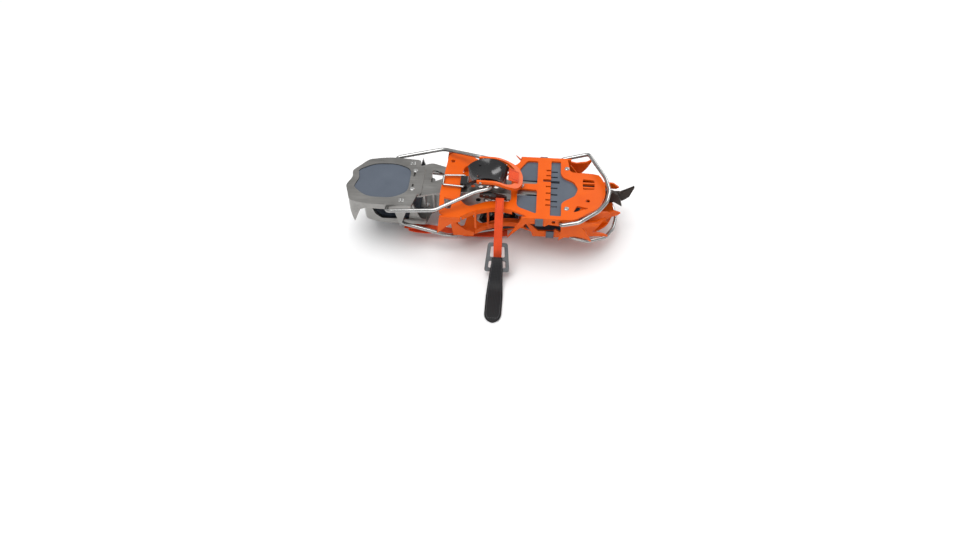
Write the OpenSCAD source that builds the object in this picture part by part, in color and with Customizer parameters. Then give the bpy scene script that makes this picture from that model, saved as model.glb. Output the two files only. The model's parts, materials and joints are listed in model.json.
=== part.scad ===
// A pair of hybrid crampons, nested with their points together: the lower one lies boot side down,
// the upper one boot side up. Each crampon is drawn once, toe towards +X, boot side at z = 0.

/* [Nest] */
// Distance between the two boot-side planes
nest_gap = 38.3; // [38.3:0.1:44]
// How far the lower crampon is shifted towards the toe
nest_x = 12; // [8:1:14]
// How far the lower crampon is shifted sideways
nest_y = 12.5; // [11:0.5:14]
// Height of the folded heel lever above the boot side
lever_h = 22.3; // [22.3:0.1:26]

/* [Sheet metal] */
// Thickness of the frames
sheet = 2; // [1.6:0.1:2]
// Depth of the side flanges
flange = 8; // [7:0.5:8]
// Length of the down points from the boot side
point_l = 29.8; // [26:0.2:29.8]
// Half width of the front section
half_w = 46; // [45:0.5:47]

/* [Wire] */
// Radius of the bail wire
wire_r = 2; // [1.8:0.1:2]
// Radial clearance of the bail wire in its holes
run_gap = 0.06; // [0.03:0.01:0.1]

/* [Strap] */
// Width of the webbing
web_w = 8.5; // [8:0.5:10]
// Thickness of the webbing
web_t = 1.4; // [1.2:0.1:1.6]

/* [Hidden] */
$fn = 40;
PIECES = ["front_frame", "front_point", "point_bolt", "point_nut", "toe_bail", "front_antiball",
    "antiball_rivets", "linking_bar", "bar_bolts", "length_clip", "clip_base", "heel_frame",
    "bridge_rivets", "heel_antiball", "heel_clips", "heel_bail", "heel_lever", "lever_barrel",
    "height_screw", "latch_loop", "latch_webbing", "latch_pin", "strap_hanger", "strap", "buckle",
    "pull_tab", "edge_clips"];

orange = "#f46a12";
steel = "#9a9890";
bright = "#d2d4d2";
slate = "#5d6573";
black = "#17181b";
webbing = "#ee4a22";

// the pair stands on the floor, with its bounding box centred over the origin
origin = [-18.75, 34.47, lever_h];
bail_z = -4.6;
toe_pivot_near = [91, -half_w, bail_z];
toe_pivot_far = [91, half_w, bail_z];
spare_hole = [-7, 0, 0];
heel_pivot = [-85, 37, bail_z];
heel_half = 36;
// the bent stretch of a bail is drawn a hair thinner than its round pivots
core_r = wire_r - 0.05;
clip_r = 1.1;
barrel_r = 3.4;
pin_r = 1.2;
point_y = 7;
point_t = 4;
bolt_pos = [118, point_y, -10];
bolt_r = 2.5;
bar_z = -sheet - 0.2;
bar_t = 2;
length_travel = 14;
bolt_xs = [43, 50];
notch_ys = [26, 18, 1.4, -8.5, -18.4, -26];
notch_w = 2;
bar_end = bolt_xs[1] + length_travel + 5;
saddle_r = 26;
saddle_c = [15, 0, lever_h - saddle_r];
saddle_w = 30;
barrel_pos = [20, 0, 15.2];
screw_pos = [24, 0, 8];
latch_pos = [9, 0, 19.6];
latch_path = [[latch_pos.x - 4, latch_pos.z], [25, 19.2], [53, 6]];

// ---- Curves -------------------------------------------------------------------------------

function unit(v) = v / norm(v);

// A rounded corner at b, coming from a and leaving to c. It starts d from b, or just under halfway
// along the shorter side where there is less room.
function corner(a, b, c, d, n) = d == 0 ? [b] :
    let (e = min(d, 0.47 * norm(a - b), 0.47 * norm(c - b)), p = b + unit(a - b) * e, q = b + unit(c - b) * e)
    [for (i = [0:n]) let (t = i / n) (1 - t) * (1 - t) * p + 2 * t * (1 - t) * b + t * t * q];

// A closed outline from corners [x, y, rounding].
function ring(c, n = 4) = let (m = len(c), xy = [for (p = c) [p.x, p.y]])
    [for (i = [0:m - 1]) each corner(xy[(i + m - 1) % m], xy[i], xy[(i + 1) % m], c[i][2], n)];

// An open path with every inner corner rounded by d.
function path(p, d, n = 4) = [p[0], for (i = [1:len(p) - 2]) each corner(p[i - 1], p[i], p[i + 1], d, n),
    p[len(p) - 1]];

// A counter-clockwise outline moved inwards by d.
function inset(p, d) = let (m = len(p)) [for (i = [0:m - 1])
    let (u = unit(p[i] - p[(i + m - 1) % m]), v = unit(p[(i + 1) % m] - p[i]),
        a = [-u.y, u.x], b = [-v.y, v.x])
    p[i] + (a + b) * d / (1 + a * b)];

// The same corners mirrored to the far side, still counter-clockwise.
function far(c) = [for (i = [len(c) - 1:-1:0]) [c[i][0], -c[i][1], c[i][2]]];

// The outline of a band of thickness t along a path.
function band(p, t) = let (m = len(p), side = [for (i = [0:m - 1])
    let (u = unit(p[min(i + 1, m - 1)] - p[max(i - 1, 0)])) [-u.y, u.x] * t / 2])
    [for (i = [0:m - 1]) p[i] + side[i], for (i = [m - 1:-1:0]) p[i] - side[i]];

// A round wire along the points p, none of whose stretches is upright.
module tube(p, r, sides = 10) {
    m = len(p);
    rings = [for (i = [0:m - 1])
        let (t = unit(p[min(i + 1, m - 1)] - p[max(i - 1, 0)]), u = unit(cross(t, [0, 0, 1])), v = cross(u, t))
        each [for (k = [0:sides - 1]) let (a = 360 * k / sides) p[i] + r * (cos(a) * u + sin(a) * v)]];
    skin = [for (i = [0:m - 2]) for (k = [0:sides - 1]) let (j = (k + 1) % sides, q = i * sides)
        [q + k, q + j, q + sides + j, q + sides + k]];
    polyhedron(rings, concat([[for (k = [sides - 1:-1:0]) k]], skin,
        [[for (k = [0:sides - 1]) (m - 1) * sides + k]]));
}

// A plate of thickness t drawn in X and Z, with its near face at y.
module upright(y, t) {
    translate([0, y + t, 0]) rotate([90, 0, 0]) linear_extrude(t) children();
}

module plate(z, t) {
    translate([0, 0, z - t]) linear_extrude(t) children();
}

// A round hole or shaft along Y.
module cross(pos, r, l) {
    translate(pos) rotate([90, 0, 0]) cylinder(h = l, r = r, center = true);
}

module slots(x, ys, size) {
    for (y = ys) translate([x - size.x / 2, y - size.y / 2]) square(size);
}

// ---- Front section ------------------------------------------------------------------------

near_side = [[136, -8, 4], [131, -22, 5], [127, -28, 3], [104, -half_w, 5], [60, -half_w, 5],
    [53, -41, 5], [38, -34, 8], [22, -33, 10], [2, -40, 8], [-8, -48, 5], [-20, -50, 4],
    [-31, -45, 4], [-33, -16, 4]];
far_side = far([[136, -8, 4], [131, -22, 5], [100, -25, 4], [97, -half_w, 4], [60, -half_w, 3],
    [50, -half_w, 3], [44, -31, 9], [22, -31, 10], [2, -38, 8], [-6, -45, 5], [-18, -49, 4],
    [-29, -45, 4], [-31, -16, 4]]);
front_corners = concat([for (i = [len(near_side) - 1:-1:0]) near_side[i]],
    [for (i = [len(far_side) - 1:-1:0]) far_side[i]]);

module front_windows() {
    // the waist, between the two rails
    polygon(ring([[-12, -24, 4], [-3, -34, 5], [20, -23, 8], [40, -24, 5], [39, 24, 5],
        [20, 22, 8], [-3, 32, 5], [-12, 24, 4]]));
    // beside the spine
    polygon(ring([[46, -30, 5], [66, -39, 2], [66, -4.5, 2], [46, -3, 2]]));
    polygon(ring([[46, 4, 2], [66, 4.5, 2], [66, 40, 2], [55, 40, 3], [46, 24, 5]]));
    // between the crossbar and the toe plate, bounded by the two curved arms
    polygon(ring([[80, -41, 1], [91, -41, 1], [91, -24, 3], [93, -20, 3], [105, -11, 4],
        [108, 0, 3], [104, 10, 4], [93, 16, 3], [90, 22, 3], [90, 41, 1], [80, 41, 1]]));
    // in front of the near arm
    polygon(ring([[103, -35, 2], [119, -28, 2], [107, -25, 2]]));
    // over the front point
    polygon(ring([[113, point_y - 8, 2], [125, point_y - 7, 2], [125, point_y + 7, 2], [113, point_y + 8, 2]]));
    // comb of adjusting notches along the crossbar
    slots(78.5, notch_ys, [7, notch_w]);
    slots(77.5, [10.5], [11, 3.6]);
    // rear band lightening holes
    translate([-24, 34]) circle(2.4);
    polygon(ring([[-28, -22, 1], [-18, -24, 1], [-20, -38, 2], [-26, -38, 2]]));
}

near_flange = [[52, 0], [50, -7], [38, -point_l], [46, -20], [57, -flange], [72, -flange], [75, -11],
    [79, -flange], [91.5, -9.5], [92, -18], [90, -point_l], [96, -25], [106, -23], [116, -25],
    [123.5, -point_l], [118, -18], [112.5, -10], [124, -8], [129, -5],
    [118, -4.5], [106, -3.4], [102, 0]];
far_flange = [[48, 0], [47, -7], [30, -point_l], [42, -18], [54, -flange], [84, -flange], [83, -18],
    [81, -point_l], [87, -25], [96, -23], [106, -25], [113, -point_l], [108, -18], [101, -8], [101, 0]];
wing_flange = [[-30, 0], [-31, -6], [-33, -24], [-25, -15], [-17, -flange], [-9, -6], [-9, 0]];
claw = [[111, -3], [108, -9], [114, -14], [126, -16], [136, -18], [143, -14], [140, -11.5], [133, -10],
    [128, -7], [131, -1], [124, -1]];

module rail_lip(y, d) {
    // shallow lip under the outer edge of a waist rail
    intersection() {
        difference() {
            plate(-sheet, d) polygon(ring(front_corners));
            plate(-sheet + 1, d + 2) polygon(inset(ring(front_corners), sheet));
        }
        translate([-8, y, -20]) cube([50, 52, 20]);
    }
}

module claw_blade(side) {
    translate([111, side * 28, 0]) rotate([0, 0, -side * 14]) translate([-111, 0, 0])
        upright(side > 0 ? -sheet : 0, sheet) polygon(claw);
}

module front_frame() color(orange) difference() {
    union() {
        plate(0, sheet) difference() {
            polygon(ring(front_corners));
            front_windows();
        }
        upright(-half_w, sheet) polygon(near_flange);
        upright(half_w - sheet, sheet) polygon(far_flange);
        upright(-50, sheet) polygon(wing_flange);
        upright(47.5, sheet) polygon(wing_flange);
        rail_lip(-52, 4);
        rail_lip(0, 4);
        claw_blade(-1);
        claw_blade(1);
        // a point turned across under each rail
        for (side = [-1, 1]) translate([4, side * 36, 0]) rotate([90, 0, 90])
            linear_extrude(sheet) polygon([[-4, -1], [-3, -16], [0, -point_l + 1], [3, -16], [4, -1]]);
        // ears that hold the front point
        for (y = [point_y - point_t / 2 - 0.3 - sheet, point_y + point_t / 2 + 0.3])
            upright(y, sheet) polygon([[110, -1], [111, -12], [115, -15], [121, -15], [126, -11], [128, -1]]);
    }
    cross([0, 0, 0] + bolt_pos, bolt_r + run_gap, 20);
    for (shift = [[0, 0, 0], spare_hole]) {
        cross(toe_pivot_near + shift, wire_r + run_gap, 10);
        cross(toe_pivot_far + shift, wire_r + run_gap, 10);
    }
    cross([68, -half_w, bail_z], 1.6, 10);
    translate([118, -17.2, -5]) cylinder(h = 10, r = 2.2);
    for (side = [-1, 1]) translate([96.5, side * 30, -5]) cylinder(h = 10, r = 1.6);
    for (x = bolt_xs) translate([x, 0, -5]) cylinder(h = 10, r = 1.5);
}

module front_point() color("#2a211d") difference() {
    upright(point_y - point_t / 2, point_t) polygon(concat(
        [[109, -4], [108.5, -8], [110, -15]],
        path([[114, -17], [128, -19], [142, -18], [156, -27]], 5),
        path([[152, -14], [146, -8], [132, -4], [124, -3.4], [112, -2.6]], 3)));
    cross(bolt_pos, bolt_r + run_gap, 20);
    for (i = [0:3]) translate([127 + i * 5, point_y, -19.6]) rotate([90, 0, 0])
        cylinder(h = 10, r = 1.4, center = true);
}

module point_bolt() color(bright) {
    cross(bolt_pos, bolt_r, 15);
    translate(bolt_pos + [0, -4.4, 0]) rotate([90, 0, 0]) difference() {
        cylinder(h = 4, r = 4.2);
        translate([0, 0, 2]) cylinder(h = 3, r = 2, $fn = 6);
    }
}

module point_nut() color(bright) translate(bolt_pos + [0, 4.4, 0]) rotate([-90, 0, 0]) difference() {
    cylinder(h = 4, r = 4.4, $fn = 6);
    translate([0, 0, -1]) cylinder(h = 8, r = bolt_r + run_gap);
}

toe_bail_path = path([toe_pivot_far, toe_pivot_far + [0, 3.6, 0], [119, 49, 5],
    [136, 12, 5.5], [139.5, -7, 5.5], [136, -24, 5.5], [128, -37, 5.5], [109, -49.4, 0.5],
    toe_pivot_near - [0, 3.6, 0],
    toe_pivot_near], 2.4, 3);

module toe_bail() color(bright) {
    tube(toe_bail_path, core_r);
    for (end = [[toe_pivot_near, -1], [toe_pivot_far, 1]])
        cross(end[0] - [0, end[1] * 1, 0], wire_r, 4);
}

module front_antiball() color(slate) difference() {
    union() {
        plate(-sheet, 1.8) polygon(ring([[44, -38, 5], [60, -42.5, 3], [102, -42.5, 5], [106, -24, 4],
            [107, 18, 4], [92, 42.5, 4], [56, 42.5, 4], [44, 34, 5]]));
        // the ground side bulges, so that snow drops off
        intersection() {
            translate([74, 0, 42]) sphere(60, $fn = 96);
            plate(-sheet - 1.8, 20) polygon(ring([[56, -30, 5], [100, -24, 5], [100, 24, 5], [56, 30, 5]]));
        }
    }
    for (side = [-1, 1]) translate([96.5, side * 30, -9]) cylinder(h = 10, r = 1.6);
    slots_cut(-9, 10, 81, notch_ys, [12, notch_w]);
    slots_cut(-9, 10, 81, [10.5], [16, 3.6]);
    // channel for the linking bar
    translate([40, -11.5, -sheet - 5]) cube([bar_end - 39, 23, 6]);
}

module slots_cut(z, h, x, ys, size) {
    translate([0, 0, z]) linear_extrude(h) slots(x, ys, size);
}

module antiball_rivets() color(bright) for (side = [-1, 1]) translate([96.5, side * 30, 0]) {
    translate([0, 0, -sheet - 2]) cylinder(h = sheet + 2, r = 1.6);
    cylinder(h = 0.9, r1 = 2.8, r2 = 1.9);
    translate([0, 0, -sheet - 2.6]) cylinder(h = 0.8, r = 2.8);
}

module edge_clips() color(slate) {
    // moulded hooks that hold the anti-balling plate to the frame's edges
    for (p = [[69.5, -1], [72, 1]]) translate([p.x, p.y * (half_w + 0.9), 0])
        translate([-4, -0.9, -flange - 1.2]) cube([8, 1.8, flange + 1]);
}

// ---- Linking bar --------------------------------------------------------------------------

module linking_bar() color(steel) {
    bar_strip();
    bar_points();
}

module bar_strip() difference() {
    plate(bar_z, bar_t) difference() {
        polygon(ring([[-68, -16, 3], [-54, -20, 4], [-44, -16, 5], [-22, -12, 5], [-10, -11, 3],
            [bar_end, -9, 4], [bar_end, 9, 4], [-10, 14, 4], [-24, 24, 6], [-46, 32, 5], [-54, 28, 4],
            [-68, 20, 3]]));
        polygon(ring([[-45, 1, 3], [-31, 2, 3], [-31, 16, 4], [-44, 22, 4]]));
        for (x = [-8:8:32]) translate([x, 0]) circle(2.6);
        // slot that runs along the spine bolts as the length is set
        translate([bolt_xs[0] - 2, -1.8]) square([bolt_xs[1] - bolt_xs[0] + 4 + length_travel, 3.6]);
    }
    for (y = [-12, 16]) translate([-62, y, -9]) cylinder(h = 10, r = 1.6);
}

module bar_points() {
    // points turned down at the rear of the bridge
    for (p = [[-50, -14], [-41, -11]]) translate([p.x, p.y, bar_z - 1]) rotate([90, 0, 90])
        linear_extrude(bar_t) polygon([[-4, 0], [-4, -8], [-1.5, -point_l + 5], [1.5, -point_l + 5], [4, -8], [4, 0]]);
}

module bar_bolts() color(bright) for (x = bolt_xs) translate([x, 0, 0]) {
    translate([0, 0, bar_z - bar_t - 0.2]) cylinder(h = -bar_z + bar_t + 0.4, r = 1.5);
    cylinder(h = 1.6, r = 2.6);
    translate([0, 0, bar_z - bar_t - 1.4]) cylinder(h = 1.4, r = 2.6);
}

clip_path = path([[-9, -5.4, 2.4], [-9, -7.6, 2.4], [-31, -6, 2.8], [-31, 8, 2.8], [-9, 9.6, 2.4],
    [-9, 7.4, 2.4]], 2, 3);

module length_clip() color(bright) {
    tube(clip_path, clip_r - 0.04, 8);
    cross([-9, 1, 2.4], clip_r, 14);
}

module clip_base() color(black) difference() {
    union() {
        translate([-13, -5, 0]) cube([3, 12, 4.2]);
        translate([-12.6, -5, 0]) cube([6.6, 12, 4.2]);
    }
    cross([-9, 0, 2.4], clip_r + run_gap, 40);
}

// ---- Heel section -------------------------------------------------------------------------

heel_corners = [[-60, -37, 3], [-56, -20, 3], [-52, -18, 2], [-52, 22, 2], [-57, 24, 2], [-58, 33, 3],
    [-90, 36, 12], [-113, 31, 4], [-120, 22, 3], [-128, 12, 3], [-126, 3, 3], [-131, -10, 3],
    [-124, -32, 4], [-106, -heel_half - 0.5, 4]];
heel_window = [[-66, -16, 7], [-66, 18, 7], [-82, 26, 10], [-106, 25, 8], [-122, 14, 4], [-119, 2, 4],
    [-123, -12, 4], [-108, -26, 10], [-80, -26, 10]];

module heel_skirt(mask, y) {
    intersection() {
        difference() {
            plate(-1, point_l) polygon(ring(heel_corners));
            plate(1, point_l + 4) polygon(inset(ring(heel_corners), sheet));
        }
        upright(y, 44) polygon(mask);
    }
}

near_heel = [[-128, 0], [-128, -6], [-121, -point_l], [-113, -10], [-106, -6], [-78, -7], [-73, -point_l],
    [-66, -10], [-60, -6], [-60, 0]];
far_heel = [[-114, 0], [-113.5, -6], [-108, -point_l], [-101, -9], [-95, -7], [-80, -7], [-76, -9],
    [-70, -point_l], [-64, -8], [-61, -6], [-61, 0]];

module heel_frame() color(steel) difference() {
    union() {
        plate(0, sheet) difference() {
            polygon(ring(heel_corners));
            polygon(ring(heel_window));
            slots(-62, [-8, 10], [2, 7]);
        }
        heel_skirt(near_heel, -44);
        heel_skirt(far_heel, 0);
    }
    for (side = [-1, 1]) cross([heel_pivot.x, side * heel_half, bail_z], wire_r + run_gap, 12);
    for (y = [-12, 16]) translate([-62, y, -5]) cylinder(h = 10, r = 1.6);
}

module bridge_rivets() color(bright) for (y = [-12, 16]) translate([-62, y, 0]) {
    translate([0, 0, bar_z - bar_t - 0.2]) cylinder(h = -bar_z + bar_t + 0.3, r = 1.6);
    cylinder(h = 1, r1 = 2.9, r2 = 2);
    translate([0, 0, bar_z - bar_t - 0.9]) cylinder(h = 0.9, r = 2.9);
}

module heel_antiball() color(slate) {
    plate(-0.9, 1.3) polygon(inset(ring(heel_window), 0.15));
    plate(-sheet - 0.05, 1.9) polygon(ring([[-69, -26, 8], [-69, 26, 8], [-82, 30, 8], [-108, 29, 6],
        [-122, 16, 4], [-125, -10, 4], [-110, -30, 8], [-82, -31, 8]]));
    intersection() {
        translate([-96, 0, 12]) sphere(30.8, $fn = 96);
        plate(-sheet - 1.5, 20) polygon(ring([[-72, -18, 5], [-72, 18, 5], [-118, 14, 5], [-118, -14, 5]]));
    }
}

module heel_clips() color(bright) for (p = [[-67.5, 27], [-72.5, -29.5]]) for (dx = [0, 3.2])
    translate([p.x + dx - 1.1, p.y - 2.4, 0]) cube([2.2, 4.8, 0.8]);

heel_arm = [[heel_pivot.x, 37.6, bail_z], [heel_pivot.x, 41, bail_z], [-35, 46.6, 5], [4, 27, 14],
    barrel_pos + [0, 22, 0], barrel_pos + [0, 18.6, 0]];

module heel_bail() color(bright) {
    for (side = [-1, 1]) {
        tube(path([for (p = heel_arm) [p.x, side * p.y, p.z]], 3, 3), core_r);
        cross([heel_pivot.x, side * 35.5, bail_z], wire_r, 6);
    }
    cross(barrel_pos, wire_r, 38);
}

// ---- Heel lever ---------------------------------------------------------------------------

// Profile of the saddle across its width: two raised rims and a hollow middle.
function saddle_profile(t) = let (n = 12, h = saddle_w / 2)
    concat([for (i = [0:n]) let (y = -h + saddle_w * i / n) [saddle_r - 2.6 * (1 - pow(y / h, 2)), y]],
        [[saddle_r - t - 1, h], [saddle_r - t - 2.6, h - 4], [saddle_r - t - 2.6, 4 - h],
        [saddle_r - t - 1, -h]]);

module heel_lever() color(black) difference() {
    union() {
        translate(saddle_c) rotate([90, 0, 0]) rotate([0, 0, 34])
            rotate_extrude(angle = 112, $fn = 72) polygon(saddle_profile(3));
        // cheeks that carry the barrel and the latch
        for (y = [-10.4, 7.4]) upright(y, 3) polygon([[6, 20], [3, 15], [8, 9], [26, 8], [31, 12], [28, 17]]);
    }
    cross(barrel_pos, barrel_r + run_gap, 60);
    latch_pins(pin_r + run_gap, 13.7);
}

module lever_barrel() color(bright) difference() {
    cross(barrel_pos, barrel_r, 32.8);
    cross(barrel_pos, wire_r + run_gap, 60);
}

module height_screw() color(steel) {
    difference() {
        cross(screw_pos, 3.6, 8);
        for (a = [0:30:330]) translate(screw_pos) rotate([0, a, 0]) translate([3.8, 0, 0])
            rotate([90, 0, 0]) cylinder(h = 10, r = 0.6, center = true);
    }
    cross(screw_pos, 1.4, 14.4);
}

// The latch and its webbing are cut from one bent strip of thickness t, lifted by z.
module on_latch(t, z) {
    intersection() {
        translate([0, 0, -5]) linear_extrude(40) children();
        upright(-30, 60) polygon(band([for (p = path(latch_path, 6)) p + [0, z]], t));
    }
}

module latch_loop() color("#ff6a24") difference() {
    on_latch(3.2, 0) difference() {
        polygon(ring([[5, -19.4, 2], [35, -19.4, 4], [46, -17, 7], [51, -6, 5], [51, 6, 5], [46, 17, 7],
            [35, 19.4, 4], [5, 19.4, 2]]));
        polygon(ring([[4, -16.8, 0], [35, -16.8, 4], [41.5, -12, 5], [45, -5, 3], [45, 5, 3], [41.5, 12, 5],
            [35, 16.8, 4], [4, 16.8, 0]]));
    }
    cross(latch_pos, pin_r + run_gap, 60);
}

module latch_webbing() color(webbing) on_latch(1.4, 2.6) polygon(ring([[36.6, -10, 1], [46.6, -8, 1],
    [46.6, 8, 1], [36.6, 10, 1]]));

module latch_pin() color(bright) latch_pins(pin_r, 13.8);

// The two pins of the latch, from start outwards.
module latch_pins(r, start) {
    for (side = [-1, 1]) cross(latch_pos + [0, side * (start + 20) / 2, 0], r, 20 - start);
}

// ---- Straps -------------------------------------------------------------------------------

module ribbon(p, x, w, t) {
    translate([x, 0, 0]) rotate([90, 0, 90]) linear_extrude(w) polygon(band(p, t));
}

upper_strap_path = path([[-26.4, 6.4], [-30, 6.2], [-40, 2.2], [-58, -30]], 5, 5);
buckle_start = [-57, -29.6];
buckle_tilt = 50;
tab_path = path([[-71, -43.5], [-84, -55], [-92, -58.6], [-133, -58.9]], 5, 5);

lower_strap_path = path([[25, 16.4], [16, 18.6], [-20, 18], [-34, 14.5], [-66, 8.4], [-84, 6.4]], 5, 5);

// Dark bracket at the near end of the bail, from which the strap hangs.
module strap_hanger() color(black) difference() {
    upright(-26, 1.8) polygon(ring([[9, 11.4, 2], [8, 6, 2], [22, 4, 2], [36, 3.4, 2], [36, 8.6, 2], [24, 11.6, 2]]));
    for (x = [13, 19]) cross([x, -25, 8], 1.3, 9);
}

module strap(which) color(webbing) {
    if (which == "upper") ribbon(upper_strap_path, 25, web_w, web_t);
    if (which == "lower") translate([0, -28.6, 0]) rotate([90, 0, 3]) translate([0, 0, -web_w / 2])
        linear_extrude(web_w) polygon(band(lower_strap_path, web_t));
}

module buckle_shape() {
    difference() {
        polygon(ring([[-13, -27, 3], [13, -27, 3], [10, 3, 3], [-10, 3, 3]]));
        polygon(ring([[-9, -23, 1.5], [9, -23, 1.5], [8.4, -16, 1.5], [-8.4, -16, 1.5]]));
        polygon(ring([[-7.6, -12, 1.5], [7.6, -12, 1.5], [6.8, -1, 1.5], [-6.8, -1, 1.5]]));
    }
}

module buckle(which) color("#7d8084") {
    if (which == "upper") translate([29.2, buckle_start.x, buckle_start.y - 1]) rotate([buckle_tilt, 0, 0])
        translate([0, 0, -3.4]) linear_extrude(2.4) buckle_shape();
    if (which == "lower") translate([-86, -22, 4]) rotate([0, 0, -172])
        linear_extrude(2.4) buckle_shape();
}

module pull_tab(which) color(black) {
    if (which == "upper") ribbon(tab_path, 20, 17, 2.6);
    if (which == "lower") translate([-98, -14, 1]) cube([17, 44, 2.4]);
}

// ---- The pair -----------------------------------------------------------------------------

module piece(which, name) {
    if (name == "front_frame") front_frame();
    if (name == "front_point") front_point();
    if (name == "point_bolt") point_bolt();
    if (name == "point_nut") point_nut();
    if (name == "toe_bail") toe_bail();
    if (name == "front_antiball") front_antiball();
    if (name == "antiball_rivets") antiball_rivets();
    if (name == "linking_bar") linking_bar();
    if (name == "bar_bolts") bar_bolts();
    if (name == "length_clip") length_clip();
    if (name == "clip_base") clip_base();
    if (name == "heel_frame") heel_frame();
    if (name == "bridge_rivets") bridge_rivets();
    if (name == "heel_antiball") heel_antiball();
    if (name == "heel_clips") heel_clips();
    if (name == "heel_bail") heel_bail();
    if (name == "heel_lever") heel_lever();
    if (name == "lever_barrel") lever_barrel();
    if (name == "height_screw") height_screw();
    if (name == "latch_loop") latch_loop();
    if (name == "latch_webbing") latch_webbing();
    if (name == "latch_pin") latch_pin();
    if (name == "strap_hanger") strap_hanger();
    if (name == "strap") strap(which);
    if (name == "buckle") buckle(which);
    if (name == "pull_tab") pull_tab(which);
    if (name == "edge_clips") edge_clips();
}

module upper(name) translate(origin + [0, 0, nest_gap]) piece("upper", name);

module lower(name) translate(origin + [nest_x, nest_y, 0]) mirror([0, 0, 1]) piece("lower", name);

for (p = PIECES) {
    upper(p);
    lower(p);
}
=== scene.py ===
"""Looks of the nested crampon pair: wires, webbing, pull tabs, materials, studio and camera."""
import json
import math

import bpy
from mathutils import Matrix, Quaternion, Vector


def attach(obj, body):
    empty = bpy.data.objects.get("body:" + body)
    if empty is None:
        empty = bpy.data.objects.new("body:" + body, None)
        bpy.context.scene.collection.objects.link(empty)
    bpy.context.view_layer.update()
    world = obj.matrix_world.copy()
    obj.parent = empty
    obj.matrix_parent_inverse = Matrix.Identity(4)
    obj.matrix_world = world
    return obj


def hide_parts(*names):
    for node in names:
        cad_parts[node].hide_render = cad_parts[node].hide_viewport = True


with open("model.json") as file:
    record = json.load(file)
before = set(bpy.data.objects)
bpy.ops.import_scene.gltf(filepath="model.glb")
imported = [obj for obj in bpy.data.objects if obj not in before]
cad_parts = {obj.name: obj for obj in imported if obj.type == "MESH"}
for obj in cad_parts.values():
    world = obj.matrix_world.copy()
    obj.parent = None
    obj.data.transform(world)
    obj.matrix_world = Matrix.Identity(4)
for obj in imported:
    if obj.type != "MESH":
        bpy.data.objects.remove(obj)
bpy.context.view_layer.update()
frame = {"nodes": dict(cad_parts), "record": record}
nodes = frame["nodes"]

# Each crampon's own frame: toe towards +X, boot side at z = 0, here its origin in mm and which way its
# z points. The lower one is upside down.
ORIGIN = {"upper": (-18.75, 34.47, 60.6, 1), "lower": (-6.75, 46.97, 22.3, -1)}

# Radii, widths and thicknesses, in mm.
WIRE_R = 2.0
CLIP_R = 1.1
STRAP_W = 8.5
STRAP_T = 1.4
PATCH_W = 19.0
TAB_W = 17.0
UPPER_TAB_T = 2.6
LOWER_TAB_T = 2.4

# The rest of the sizes are in metres. Distance between points along webbing, pull tabs and wires:
WEBBING_STEP = 0.0012
TAB_STEP = 0.001
WIRE_STEP = 0.0025
# Rounding at the bends of webbing and pull tabs.
STRAP_BEND = 0.005
FOLD_BEND = 0.004
THREADED_BEND = 0.003
# Stitch pitch, and the share of it that is thread.
STITCH_PITCH = 0.0026
STITCH_SHARE = 0.62
EDGE_PITCH = 0.0022
EDGE_SHARE = 0.6
# Radius of the thread, and how far its middle stands off the middle of the webbing.
LATCH_THREAD_R, LATCH_THREAD_LIFT = 0.00022, 0.00078
STRAP_THREAD_R, STRAP_THREAD_LIFT = 0.0002, 0.00072
TAB_THREAD_R, TAB_THREAD_LIFT = 0.00018, 0.00125
# Distance of the seams from the middle of the latch webbing and the strap, and from a tab's edge.
LATCH_SEAM = 0.0062
STRAP_SEAM = 0.0032
TAB_SEAM_INSET = 0.0018
# Periods of the webbing's weave, across and along, and of the pull tab's ribs.
YARN_ACROSS = 0.0011
YARN_ALONG = 0.0018
RIB_PITCH = 0.0016


def place(which, p):
    """A point of one crampon's frame, in mm, as a point of the scene, in metres."""
    ox, oy, oz, up = ORIGIN[which]
    return Vector((ox + p[0], oy + p[1], oz + up * p[2])) / 1000


# ---- Shader building ----------------------------------------------------------------------


def put(tree, kind, inputs=(), **settings):
    """Adds a node. An input is a value, or the socket that feeds it."""
    n = tree.nodes.new(kind)
    for key, value in settings.items():
        setattr(n, key, value)
    for key, value in dict(inputs).items():
        if isinstance(value, bpy.types.NodeSocket):
            tree.links.new(value, n.inputs[key])
        else:
            n.inputs[key].default_value = value
    return n


def sum_of(tree, a, b, operation="ADD"):
    """The sum of two numbers or sockets, or what another math operation makes of them."""
    return put(tree, "ShaderNodeMath", {0: a, 1: b}, operation=operation).outputs[0]


def noise(tree, coords, scale, detail=3.0, stretch=(1, 1, 1)):
    """Noise from 0 to 1 over the object's own metres."""
    mapped = put(tree, "ShaderNodeMapping", {"Vector": coords, "Scale": stretch}).outputs[0]
    inputs = {"Vector": mapped, "Scale": scale, "Detail": detail}
    return put(tree, "ShaderNodeTexNoise", inputs).outputs["Fac"]


def spread(tree, fac, low, high, start=0.3, end=0.7):
    """Maps fac from start..end to low..high."""
    return put(tree, "ShaderNodeMapRange", {"Value": fac, "From Min": start, "From Max": end,
                                            "To Min": low, "To Max": high}).outputs[0]


def blend_colour(tree, fac, dark, light):
    """A colour between dark and light, by fac."""
    mix = put(tree, "ShaderNodeMix", data_type="RGBA")
    tree.links.new(fac, mix.inputs[0])
    mix.inputs[6].default_value = (*dark, 1)
    mix.inputs[7].default_value = (*light, 1)
    return mix.outputs[2]


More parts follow.
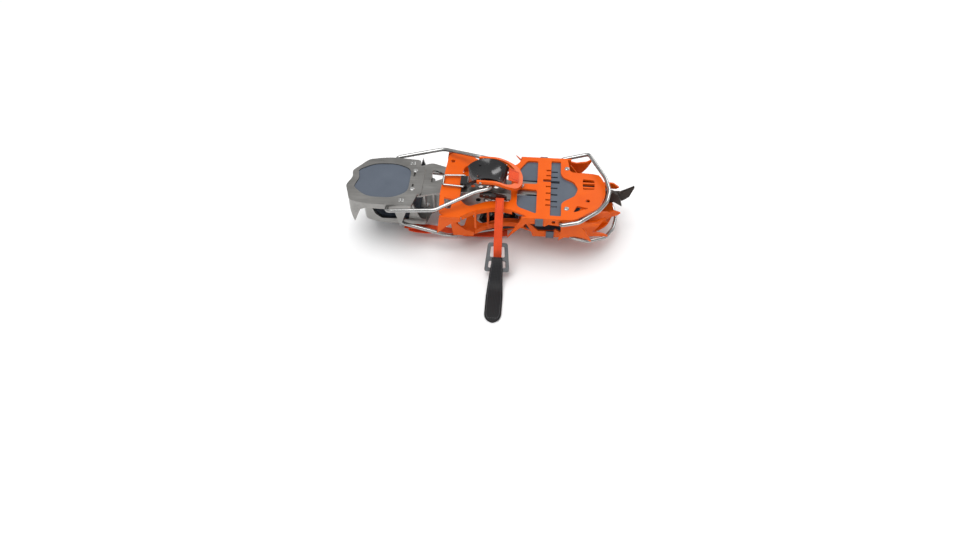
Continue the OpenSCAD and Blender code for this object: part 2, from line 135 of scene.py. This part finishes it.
def material(name, dark, light, rough, metallic=0.0, coat=0.0, mottle=60, grain=900, grain_depth=0.05,
             stretch=(1, 1, 1), height=None, sheen=0.0, specular=0.5):
    """A procedural finish: colour mottled between two tones, roughness that varies, and a fine relief.
    height is a function of the tree that returns a pattern to use for relief and colour."""
    m = bpy.data.materials.new(name)
    m.use_nodes = True
    tree = m.node_tree
    shader = tree.nodes["Principled BSDF"]
    coords = put(tree, "ShaderNodeTexCoord").outputs["Object"]
    broad = noise(tree, coords, mottle, 4.0)
    fine = noise(tree, coords, grain, 2.0, stretch)
    pattern = height(tree) if height else fine
    tone = sum_of(tree, sum_of(tree, broad, 0.5, "MULTIPLY"), sum_of(tree, pattern, 0.5, "MULTIPLY"))
    tree.links.new(blend_colour(tree, spread(tree, tone, 0.0, 1.0), dark, light), shader.inputs["Base Color"])
    tree.links.new(spread(tree, sum_of(tree, sum_of(tree, broad, fine), 0.5, "MULTIPLY"), rough[0], rough[1]),
                   shader.inputs["Roughness"])
    bump = put(tree, "ShaderNodeBump", {"Strength": 0.6, "Distance": grain_depth / 1000, "Height": pattern})
    tree.links.new(bump.outputs[0], shader.inputs["Normal"])
    shader.inputs["Metallic"].default_value = metallic
    shader.inputs["Coat Weight"].default_value = coat
    shader.inputs["Coat Roughness"].default_value = 0.12
    shader.inputs["Specular IOR Level"].default_value = specular
    shader.inputs["Sheen Weight"].default_value = sheen
    return m


def wave(tree, value, period, phase=0.0):
    """A sine wave from 0 to 1 along value, in metres."""
    turn = sum_of(tree, sum_of(tree, value, 2 * math.pi / period, "MULTIPLY"), phase)
    sine = put(tree, "ShaderNodeMath", {0: turn}, operation="SINE").outputs[0]
    return sum_of(tree, sum_of(tree, sine, 0.5, "MULTIPLY"), 0.5)


def band_coords(tree):
    """How far a point of a band is across it and along it, in metres."""
    uv = put(tree, "ShaderNodeUVMap", uv_map="band").outputs[0]
    split = put(tree, "ShaderNodeSeparateXYZ", {"Vector": uv})
    return split.outputs[0], split.outputs[1]


def weave(tree):
    """Plain weave of flat yarns: a checker of raised humps, across and along the band."""
    across, along = band_coords(tree)
    warp = sum_of(tree, wave(tree, across, YARN_ACROSS), wave(tree, along, YARN_ALONG), "MULTIPLY")
    weft = sum_of(tree, wave(tree, across, YARN_ACROSS, math.pi), wave(tree, along, YARN_ALONG, math.pi),
                  "MULTIPLY")
    return sum_of(tree, warp, weft)


def knurl(tree):
    """Rows of small ribs, as on a moulded grip."""
    across, along = band_coords(tree)
    return sum_of(tree, wave(tree, along, RIB_PITCH), wave(tree, across, RIB_PITCH), "MULTIPLY")


FINISH = {
    "painted_orange": material(
        "orange_coat", (0.68, 0.082, 0.001), (0.79, 0.120, 0.001), (0.34, 0.46),
        coat=0.06, grain=1500, grain_depth=0.03, specular=0.2),
    "dark_steel": material(
        "dark_steel", (0.018, 0.013, 0.011), (0.05, 0.036, 0.030), (0.28, 0.5),
        metallic=0.6, grain=700),
    "bright_steel": material(
        "bright_steel", (0.46, 0.46, 0.45), (0.66, 0.66, 0.65), (0.14, 0.30),
        metallic=1.0, grain=1200, grain_depth=0.02),
    "bail_wire": material(
        "drawn_wire", (0.31, 0.31, 0.305), (0.50, 0.50, 0.49), (0.10, 0.24),
        metallic=1.0, mottle=90, grain=1600, grain_depth=0.02, stretch=(0.08, 1, 1)),
    "heel_steel": material(
        "brushed_sheet", (0.23, 0.225, 0.215), (0.37, 0.362, 0.348), (0.24, 0.42),
        metallic=1.0, mottle=45, grain=1400, grain_depth=0.03, stretch=(0.03, 1, 1)),
    "slate_plastic": material(
        "slate_plastic", (0.062, 0.077, 0.103), (0.096, 0.116, 0.148), (0.30, 0.46),
        mottle=35, grain=2200, grain_depth=0.03),
    "black_plastic": material(
        "black_gloss", (0.004, 0.004, 0.005), (0.009, 0.009, 0.010), (0.12, 0.24),
        coat=0.15, mottle=30, grain=500, grain_depth=0.01),
    "orange_plastic": material(
        "orange_plastic", (0.72, 0.085, 0.002), (0.82, 0.125, 0.003), (0.26, 0.40),
        coat=0.05, grain=1100, grain_depth=0.03, specular=0.3),
    "webbing": material(
        "red_webbing", (0.55, 0.040, 0.010), (0.90, 0.110, 0.028), (0.65, 0.88),
        grain_depth=0.22, height=weave, sheen=0.1, specular=0.15),
    "buckle_metal": material(
        "cast_grey", (0.10, 0.106, 0.112), (0.20, 0.207, 0.214), (0.26, 0.44),
        metallic=0.9, grain=1300, grain_depth=0.08),
    "black_rubber": material(
        "black_rubber", (0.004, 0.004, 0.005), (0.014, 0.014, 0.016), (0.46, 0.66),
        grain_depth=0.12, height=knurl, specular=0.3),
    "thread": material(
        "dark_thread", (0.10, 0.010, 0.006), (0.22, 0.022, 0.010), (0.6, 0.8), grain=3000),
    "seam": material(
        "grey_thread", (0.10, 0.10, 0.11), (0.20, 0.20, 0.21), (0.6, 0.8), grain=3000),
}

# ---- Mesh building ------------------------------------------------------------------------

# How many steps a rounded bend takes, and how many sides a wire, webbing and thread have.
BEND_STEPS = 8
WIRE_SIDES = 18
BAND_SIDES = 28
THREAD_SIDES = 6
# Edges sharper than this stay sharp in the shading, in degrees.
SHARP_ANGLE = 50
# How fat a stitch is at each share of its length.
THREAD_SHAPE = ((0, 0.35), (0.2, 0.9), (0.5, 1.1), (0.8, 0.9), (1, 0.35))


def rounded(points, d):
    """An open path whose inner corners are rounded, starting d before each corner."""
    points = [Vector(p) for p in points]
    out = [points[0]]
    for a, b, c in zip(points, points[1:], points[2:]):
        reach = min(d, 0.47 * (a - b).length, 0.47 * (c - b).length)
        p, q = b + (a - b).normalized() * reach, b + (c - b).normalized() * reach
        for i in range(BEND_STEPS + 1):
            t = i / BEND_STEPS
            out.append((1 - t) ** 2 * p + 2 * t * (1 - t) * b + t * t * q)
    return out + [points[-1]]


def resampled(points, step):
    """The same path with points about step apart."""
    out = [points[0]]
    for a, b in zip(points, points[1:]):
        n = max(1, round((b - a).length / step))
        out += [a.lerp(b, i / n) for i in range(1, n + 1)]
    return out


def smooth_object(name, mesh, finish):
    """An object of the scene with a smooth-shaded mesh and one finish."""
    mesh.polygons.foreach_set("use_smooth", [True] * len(mesh.polygons))
    mesh.materials.append(FINISH[finish])
    o = bpy.data.objects.new(name, mesh)
    bpy.context.scene.collection.objects.link(o)
    return o


def solid(name, rings, finish, uvs=None):
    """A closed mesh skinned over rings of as many points each. uvs holds one pair per point."""
    verts = [p for ring in rings for p in ring]
    m = len(rings[0])
    faces = []
    for i in range(len(rings) - 1):
        for k in range(m):
            j = (k + 1) % m
            faces.append((i * m + k, i * m + j, (i + 1) * m + j, (i + 1) * m + k))
    faces.append(tuple(range(m - 1, -1, -1)))
    faces.append(tuple((len(rings) - 1) * m + k for k in range(m)))
    mesh = bpy.data.meshes.new(name)
    mesh.from_pydata(verts, [], faces)
    layer = mesh.uv_layers.new(name="band")
    if uvs:
        flat = [uv for ring in uvs for uv in ring]
        for loop in mesh.loops:
            layer.data[loop.index].uv = flat[loop.vertex_index]
    mesh.validate()
    o = smooth_object(name, mesh, finish)
    mesh.set_sharp_from_angle(angle=math.radians(SHARP_ANGLE))
    return o


def wire(name, points, r):
    """Round wire along points, in metres, with its ends drawn in a little."""
    last = len(points) - 1
    up = Vector((0.02, 0.05, 1)).normalized()
    rings = []
    for i, p in enumerate(points):
        t = (points[min(i + 1, last)] - points[max(i - 1, 0)]).normalized()
        u = t.cross(up).normalized()
        v = u.cross(t)
        end = 0.82 if i in (0, last) else 1.0
        rings.append([p + r * end * (math.cos(a) * u + math.sin(a) * v)
                      for a in (2 * math.pi * k / WIRE_SIDES for k in range(WIRE_SIDES))])
    return solid(name, rings, "bail_wire")


def band_ring(p, along, across, width, thick):
    """The flat, soft-edged section of webbing at p, and how far across the band each point is."""
    up = along.cross(across).normalized()
    ring, offsets = [], []
    for k in range(BAND_SIDES):
        a = 2 * math.pi * k / BAND_SIDES
        c, s = math.cos(a), math.sin(a)
        x = math.copysign(abs(c) ** 0.42, c) * width / 2
        z = math.copysign(abs(s) ** 0.55, s) * thick / 2
        ring.append(p + across * x + up * z)
        offsets.append(x)
    return ring, offsets


def band(name, points, across, width, thick, finish, taper=lambda s: 1.0):
    """Webbing along points. taper gives the width's share at a share of the length."""
    length = [0.0]
    for a, b in zip(points, points[1:]):
        length.append(length[-1] + (b - a).length)
    rings, uvs = [], []
    for i, p in enumerate(points):
        along = (points[min(i + 1, len(points) - 1)] - points[max(i - 1, 0)]).normalized()
        ring, offsets = band_ring(p, along, across, width * taper(length[i] / length[-1]), thick)
        rings.append(ring)
        uvs.append([(x, length[i]) for x in offsets])
    return solid(name, rings, finish, uvs=uvs)


def stitches(name, pairs, r, finish):
    """Short raised thread stitches from each pair's start to its end, as one mesh."""
    verts, faces = [], []
    n = THREAD_SIDES
    for a, b in pairs:
        t = (b - a).normalized()
        u = t.cross(Vector((0.3, 0.1, 1))).normalized()
        v = u.cross(t)
        base = len(verts)
        for share, fat in THREAD_SHAPE:
            p = a.lerp(b, share)
            for k in range(n):
                ang = 2 * math.pi * k / n
                verts.append(p + r * fat * (math.cos(ang) * u + math.sin(ang) * v))
        end = base + (len(THREAD_SHAPE) - 1) * n
        for row in range(base, end, n):
            for k in range(n):
                j = (k + 1) % n
                faces.append((row + k, row + j, row + n + j, row + n + k))
        faces.append(tuple(base + k for k in range(n - 1, -1, -1)))
        faces.append(tuple(end + k for k in range(n)))
    mesh = bpy.data.meshes.new(name)
    mesh.from_pydata(verts, [], faces)
    return smooth_object(name, mesh, finish)


def seam(points, across, up, offset, lift):
    """Stitch pairs that follow a band at offset from its middle, lift above it."""
    line = resampled([p + across * offset + up(i) * lift for i, p in enumerate(points)], STITCH_PITCH)
    return [(a, a.lerp(b, STITCH_SHARE)) for a, b in zip(line, line[1:])]


def ride(o, body, slot, *replaced):
    """Puts a piece on a body, and hides the CAD nodes that it replaces. slot is not used."""
    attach(o, body)
    if replaced:
        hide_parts(*replaced)


# ---- CAD nodes ----------------------------------------------------------------------------

SLOT = {s["node"]: s["material_slot"] for s in frame["record"]["subparts"]}
# Kinds of CAD piece that the pieces made here stand for.
SOFT = ("toe_bail", "heel_bail", "length_clip", "latch_webbing", "strap", "pull_tab")
# Width of the rounded edge of each kind of piece, in mm.
EDGE = {"front_frame": 0.3, "heel_frame": 0.3, "linking_bar": 0.25, "front_antiball": 0.35,
        "heel_antiball": 0.35, "heel_lever": 0.7, "latch_loop": 0.8, "buckle": 0.6, "front_point": 0.35,
        "strap_hanger": 0.4, "clip_base": 0.5, "edge_clips": 0.4}
OTHER_EDGE = 0.2
# Vertices closer than this, in metres, are one.
WELD_GAP = 1e-6
# Faces that meet at less than this are one face, and edges sharper than the next are rounded, in degrees.
FLAT_ANGLE = 0.4
ROUNDED_ANGLE = 34

for name, o in nodes.items():
    kind = name.split("_", 1)[1]
    if kind in SOFT:
        continue
    o.data.materials.clear()
    o.data.materials.append(FINISH[SLOT[name]])
    if "custom_normal" in o.data.attributes:
        o.data.attributes.remove(o.data.attributes["custom_normal"])
    o.data.polygons.foreach_set("use_smooth", [True] * len(o.data.polygons))
    weld = o.modifiers.new("weld", "WELD")
    weld.merge_threshold = WELD_GAP
    flat = o.modifiers.new("flat", "DECIMATE")
    flat.decimate_type = "DISSOLVE"
    flat.angle_limit = math.radians(FLAT_ANGLE)
    edge = o.modifiers.new("edge", "BEVEL")
    edge.width = EDGE.get(kind, OTHER_EDGE) / 1000
    edge.segments = 2
    edge.limit_method = "ANGLE"
    edge.angle_limit = math.radians(ROUNDED_ANGLE)
    edge.use_clamp_overlap = True
    o.modifiers.new("shade", "WEIGHTED_NORMAL").keep_sharp = True

# ---- Wires --------------------------------------------------------------------------------

# Middle lines of the wires, and below them the rounding of their bends, in a crampon's own frame.
TOE_WIRE = [(91, 43, -4.6), (91, 49.6, -4.6), (119, 49, 5), (136, 12, 5.5), (139.5, -7, 5.5), (136, -24, 5.5),
            (128, -37, 5.5), (109, -49.4, 0.5), (91, -49.6, -4.6), (91, -43, -4.6)]
HEEL_ARM = [(-85, 32.5, -4.6), (-85, 41, -4.6), (-35, 46.6, 5), (4, 27, 14), (20, 22, 15.2)]
HEEL_WIRE = HEEL_ARM + [(x, -y, z) for x, y, z in reversed(HEEL_ARM)]
CLIP_WIRE = [(-9, 0.9, 2.4), (-9, -7.6, 2.4), (-31, -6, 2.8), (-31, 8, 2.8), (-9, 9.6, 2.4), (-9, 1.1, 2.4)]
# Where a bend's rounding starts, before its corner.
TOE_BEND = 3.4
HEEL_BEND = 4.5
CLIP_BEND = 2


def bent(which, points, bend):
    """The middle line of a wire with rounded bends, in the scene's metres."""
    return resampled([place(which, p) for p in rounded(points, bend)], WIRE_STEP)


for which in ORIGIN:
    toe = wire(f"{which}_toe_wire", bent(which, TOE_WIRE, TOE_BEND), WIRE_R / 1000)
    ride(toe, f"{which}_toe_bail_swing", "bail_wire", f"{which}_toe_bail")
    heel = wire(f"{which}_heel_wire", bent(which, HEEL_WIRE, HEEL_BEND), WIRE_R / 1000)
    ride(heel, f"{which}_heel_bail_swing", "bail_wire", f"{which}_heel_bail")
    clip = wire(f"{which}_clip_wire", bent(which, CLIP_WIRE, CLIP_BEND), CLIP_R / 1000)
    ride(clip, f"{which}_clip", "bail_wire", f"{which}_length_clip")

# ---- Webbing and pull tabs ----------------------------------------------------------------

x_axis = Vector((1, 0, 0))
y_axis = Vector((0, 1, 0))


def on_latch(which, x):
    """A point on the middle of the latch's slope."""
    return place(which, (x, 0, 21.6 - 0.471 * (x - 25)))


# short webbing sewn on the slope of the latch
for which in ORIGIN:
    run = resampled([on_latch(which, 36.6), on_latch(which, 46.6)], TAB_STEP)
    patch = band(f"{which}_latch_band", run, y_axis, PATCH_W / 1000, STRAP_T / 1000, "webbing",
                 lambda share: 1.0 - 0.17 * share)
    ride(patch, f"{which}_latch", "webbing", f"{which}_latch_webbing")
    up = (run[-1] - run[0]).normalized().cross(y_axis)
    up = up if up.z * ORIGIN[which][3] > 0 else -up
    rows = []
    for offset in (-LATCH_SEAM, LATCH_SEAM):
        rows += seam(run, y_axis, lambda i: up, offset, LATCH_THREAD_LIFT)
    sewn = stitches(f"{which}_latch_stitches", rows, LATCH_THREAD_R, "thread")
    ride(sewn, f"{which}_latch", "webbing")

# upper strap: down from the hanger on the bail and through the buckle's window
hang = [place("upper", (29.25, y, z)) for y, z in ((-26.4, 6.4), (-30, 6.2), (-40, 2.2), (-58, -30))]
hang = resampled(rounded(hang, STRAP_BEND), WEBBING_STEP)
strap = band("upper_strap_band", hang, x_axis, STRAP_W / 1000, STRAP_T / 1000, "webbing")
ride(strap, "upper_strap_swing", "webbing", "upper_strap")


def outward(points):
    """The side of a near-side band that faces up and out, at each point."""
    sides = []
    for i in range(len(points)):
        along = (points[min(i + 1, len(points) - 1)] - points[max(i - 1, 0)]).normalized()
        side = along.cross(x_axis)
        sides.append(side if side.z > 0 else -side)
    return lambda i: sides[i]


sewn_part = hang[6:20]
rows = []
for offset in (-STRAP_SEAM, STRAP_SEAM):
    rows += seam(sewn_part, x_axis, outward(sewn_part), offset, STRAP_THREAD_LIFT)
sewn = stitches("upper_strap_stitches", rows, STRAP_THREAD_R, "thread")
ride(sewn, "upper_strap_swing", "webbing")


def in_buckle(y, z):
    """A point in the upper buckle's own plane: y along it, away from its lower end, and z out of it."""
    lean = math.radians(50)
    return place("upper", (29.25, -57 + y * math.cos(lean) - z * math.sin(lean),
                           -30.6 + y * math.sin(lean) + z * math.cos(lean)))


threaded = [in_buckle(y, z) for y, z in ((-0.2, 1.1), (-4, 0.4), (-9, -3.2), (-12.5, -4.6),
                                         (-16.6, -4.6), (-18.6, -3.2))]
threaded = resampled(rounded(threaded, THREADED_BEND), TAB_STEP)
strap_end = band("upper_strap_end", threaded, x_axis, STRAP_W / 1000, STRAP_T / 1000, "webbing")
ride(strap_end, "upper_tail", "webbing")


def tab_width(s):
    """A pull tab's outline: narrow at the buckle, wide near its end, then round."""
    wide = 0.62 + 0.38 * min(1.0, s / 0.55) ** 0.8
    if s > 0.86:
        wide *= math.sqrt(max(0.02, 1 - ((s - 0.86) / 0.14) ** 2))
    return wide


tail = [place("upper", (28.5, y, z)) for y, z in ((-84, -55), (-92, -58.6), (-133, -58.9))]
tail = [in_buckle(-12.6, -0.2), in_buckle(-14, 0.9), in_buckle(-19, 2.4)] + tail
tail = resampled(rounded(tail, STRAP_BEND), TAB_STEP)
tab = band("upper_tab", tail, x_axis, TAB_W / 1000, UPPER_TAB_T / 1000, "black_rubber", tab_width)
ride(tab, "upper_tail", "black_rubber", "upper_pull_tab")


def rim(points, across, up):
    """Points of a line that follows a pull tab's outline, inset from its edge."""
    n = len(points) - 1
    sides = []
    for side in (-1, 1):
        line = []
        for i in range(4, n - 3):
            half = TAB_W / 1000 * tab_width(i / n) / 2 - TAB_SEAM_INSET
            if half > 0.001:
                line.append(points[i] + across * side * half + up(i) * TAB_THREAD_LIFT)
        sides.append(line)
    return sides[0] + list(reversed(sides[1]))


edge_line = resampled(rim(tail, x_axis, outward(tail)), EDGE_PITCH)
edge_pairs = [(a, a.lerp(b, EDGE_SHARE)) for a, b in zip(edge_line, edge_line[1:])]
edge_sewn = stitches("upper_tab_seam", edge_pairs, TAB_THREAD_R, "seam")
ride(edge_sewn, "upper_tail", "black_rubber")

# lower strap: along the near side under the crampon, turned a little, with its slack folded back
TURN = math.radians(3)
low_across = Vector((-math.sin(TURN), math.cos(TURN), 0))


def low(x, z):
    """A point on the lower strap's middle line."""
    return place("lower", (x * math.cos(TURN), x * math.sin(TURN) - 28.6, z))


under = [low(x, z) for x, z in ((25, 16.4), (16, 18.6), (-20, 18), (-34, 14.5), (-66, 8.4), (-84, 6.4))]
under = resampled(rounded(under, STRAP_BEND), WEBBING_STEP)
low_strap = band("lower_strap_band", under, low_across, STRAP_W / 1000, STRAP_T / 1000, "webbing")
ride(low_strap, "lower_strap_swing", "webbing", "lower_strap")
fold = [low(x, z) for x, z in ((-52, 13.2), (-60, 14.6), (-74, 12.4), (-80, 10), (-78, 8.6))]
fold = resampled(rounded(fold, FOLD_BEND), WEBBING_STEP)
low_fold = band("lower_strap_fold", fold, low_across, STRAP_W / 1000, STRAP_T / 1000, "webbing")
ride(low_fold, "lower_strap_swing", "webbing")
stub = [place("lower", (-89.5, y, 2.2)) for y in (-14, 30)]
low_tab = band("lower_tab", resampled(stub, TAB_STEP), x_axis, TAB_W / 1000, LOWER_TAB_T / 1000,
               "black_rubber", tab_width)
ride(low_tab, "lower_tail", "black_rubber", "lower_pull_tab")

# ---- Studio -------------------------------------------------------------------------------

FLOOR_HALF = 6
WORLD_STRENGTH = 0.62
floor_mesh = bpy.data.meshes.new("floor")
corners = [(x * FLOOR_HALF, y * FLOOR_HALF, 0) for x, y in ((-1, -1), (1, -1), (1, 1), (-1, 1))]
floor_mesh.from_pydata(corners, [], [(0, 1, 2, 3)])
floor_mesh.materials.append(material(
    "pale_floor", (0.92, 0.92, 0.92), (0.94, 0.94, 0.94), (0.6, 0.7),
    mottle=2, grain=40, grain_depth=0.001, specular=0.2))
floor = bpy.data.objects.new("floor", floor_mesh)
bpy.context.scene.collection.objects.link(floor)

world = bpy.data.worlds.new("studio")
world.use_nodes = True
sky = world.node_tree
around = put(sky, "ShaderNodeTexCoord").outputs["Generated"]
height = put(sky, "ShaderNodeSeparateXYZ", {"Vector": around}).outputs[2]
# light grey at the horizon, white overhead
tone = blend_colour(sky, spread(sky, height, 0.0, 1.0, 0.0, 0.8), (0.55, 0.55, 0.56), (1.0, 1.0, 1.0))
sky.links.new(tone, sky.nodes["Background"].inputs["Color"])
sky.nodes["Background"].inputs["Strength"].default_value = WORLD_STRENGTH
bpy.context.scene.world = world


def lamp(name, at, aim, size, watts):
    """A soft rectangular lamp, aimed at a point."""
    data = bpy.data.lights.new(name, "AREA")
    data.shape = "RECTANGLE"
    data.size, data.size_y = size
    data.energy = watts
    o = bpy.data.objects.new(name, data)
    o.location = at
    o.rotation_euler = (Vector(aim) - Vector(at)).to_track_quat("-Z", "Y").to_euler()
    bpy.context.scene.collection.objects.link(o)


lamp("key", (-0.35, -0.1, 1.5), (0, 0, 0.04), (1.3, 1.1), 17)
lamp("rim", (0.7, 1.1, 0.9), (0, 0, 0.04), (0.9, 0.4), 5)
lamp("front", (0.4, -1.4, 0.7), (0, 0, 0.04), (0.9, 0.3), 2.5)
bpy.context.scene.view_settings.view_transform = "Standard"

# ---- Camera -------------------------------------------------------------------------------

AZIMUTH, ELEVATION, DISTANCE, LENS_MM = 4.0, 45.0, 0.86, 31.0
DOWNWARD_TILT = 3.8
AIM = Vector((0, 0, 0.045))
camera = bpy.data.objects.new("camera", bpy.data.cameras.new("camera"))
camera.data.lens = LENS_MM
camera.data.clip_start = 0.01
a, e = math.radians(AZIMUTH), math.radians(ELEVATION)
back = Vector((math.sin(a) * math.cos(e), -math.cos(a) * math.cos(e), math.sin(e)))
camera.location = AIM + back * DISTANCE
# tilted down, so that the pair stands above the middle of the picture
tilt = Quaternion((1, 0, 0), math.radians(-DOWNWARD_TILT))
camera.rotation_euler = ((-back).to_track_quat("-Z", "Y") @ tilt).to_euler()
bpy.context.scene.collection.objects.link(camera)
bpy.context.scene.camera = camera
